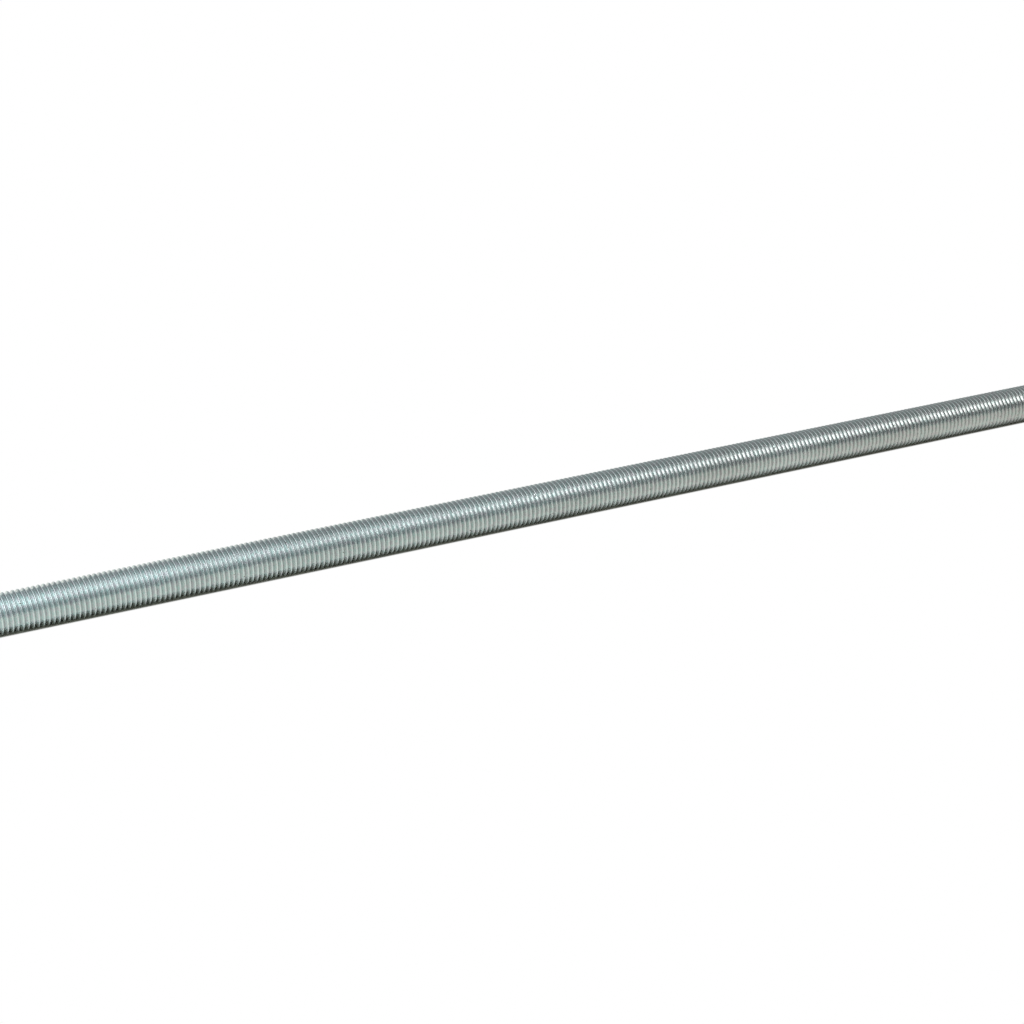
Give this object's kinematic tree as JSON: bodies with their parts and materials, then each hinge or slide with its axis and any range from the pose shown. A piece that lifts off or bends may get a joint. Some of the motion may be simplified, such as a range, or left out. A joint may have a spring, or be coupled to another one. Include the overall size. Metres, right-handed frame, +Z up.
{
  "type": "threaded rod",
  "caption": "Straight zinc-plated steel bar with a coarse metric screw thread along its whole length and chamfered ends.",
  "frame": {"origin": "middle of the rod's length, on its axis", "axes": "+X along the rod's axis, +Z up with the rod lying level; the two ends are alike"},
  "size_m": [0.5, 0.016, 0.016],
  "materials": {
    "zinc_plating": "bright bluish zinc plating on a rolled steel thread"
  },
  "bodies": {
    "root": {"rod": "zinc_plating"}
  },
  "joints": []
}
